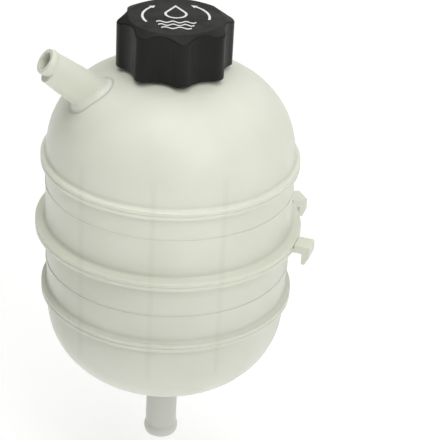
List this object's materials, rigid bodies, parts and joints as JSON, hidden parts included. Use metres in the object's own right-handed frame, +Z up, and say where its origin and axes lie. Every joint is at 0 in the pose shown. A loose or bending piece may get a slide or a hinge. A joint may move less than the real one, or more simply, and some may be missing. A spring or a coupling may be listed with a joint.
{
  "type": "coolant expansion tank",
  "caption": "Round translucent coolant expansion tank with a lobed pressure cap, bottom outlet, degas spigot and two bracket hooks.",
  "frame": {"origin": "centre of the bottom outlet's mouth, on the tank's axis", "axes": "+Z up the tank's axis to the cap, +X midway between the two mounting hooks, +Y completes a right-handed frame"},
  "size_m": [0.156, 0.15, 0.2691],
  "materials": {
    "tank_plastic": "translucent natural polypropylene, satin",
    "cap_plastic": "black moulded plastic, satin",
    "cartridge_plastic": "dark moulded plastic",
    "seal_rubber": "smooth black rubber",
    "spring_steel": "drawn spring wire",
    "plate_steel": "stamped steel",
    "valve_brass": "turned brass"
  },
  "bodies": {
    "tank": {"upper_shell": "tank_plastic", "degas_spigot": "tank_plastic", "lower_shell": "tank_plastic", "upper_baffle_1": "tank_plastic", "upper_baffle_2": "tank_plastic", "upper_baffle_3": "tank_plastic", "lower_baffle_1": "tank_plastic", "lower_baffle_2": "tank_plastic", "lower_baffle_3": "tank_plastic"},
    "cartridge": {"valve_housing": "cartridge_plastic", "housing_o_ring": "seal_rubber", "spring_retainer": "cartridge_plastic", "pressure_spring": "spring_steel"},
    "knob": {"cap_knob": "cap_plastic"},
    "pressure_unit": {"pressure_plate": "plate_steel", "pressure_seal": "seal_rubber", "vacuum_spring": "spring_steel"},
    "vacuum_unit": {"vacuum_valve": "valve_brass", "vacuum_clip": "spring_steel"}
  },
  "joints": [
    {"name": "cap_lift", "type": "slide", "parent": "tank", "child": "cartridge", "axis": [0, 0, 1], "range_m": [0, 0.01]},
    {"name": "cap_turn", "type": "hinge", "parent": "cartridge", "child": "knob", "pos_m": [0, 0, 0.2615], "axis": [0, 0, 1], "range_deg": [0, 720]},
    {"name": "pressure_lift", "type": "slide", "parent": "cartridge", "child": "pressure_unit", "axis": [0, 0, 1], "range_m": [0, 0.0025], "stiffness_N_per_m": 4700, "springref_m": -0.006, "deforming": ["pressure_spring"]},
    {"name": "vacuum_drop", "type": "slide", "parent": "pressure_unit", "child": "vacuum_unit", "axis": [0, 0, -1], "range_m": [0, 0.0015], "stiffness_N_per_m": 60, "springref_m": -0.003, "deforming": ["vacuum_spring"]}
  ],
  "couplings": [
    {"joint": "cap_lift", "follows": "cap_turn", "m_per_rad": 0.00079577}
  ]
}
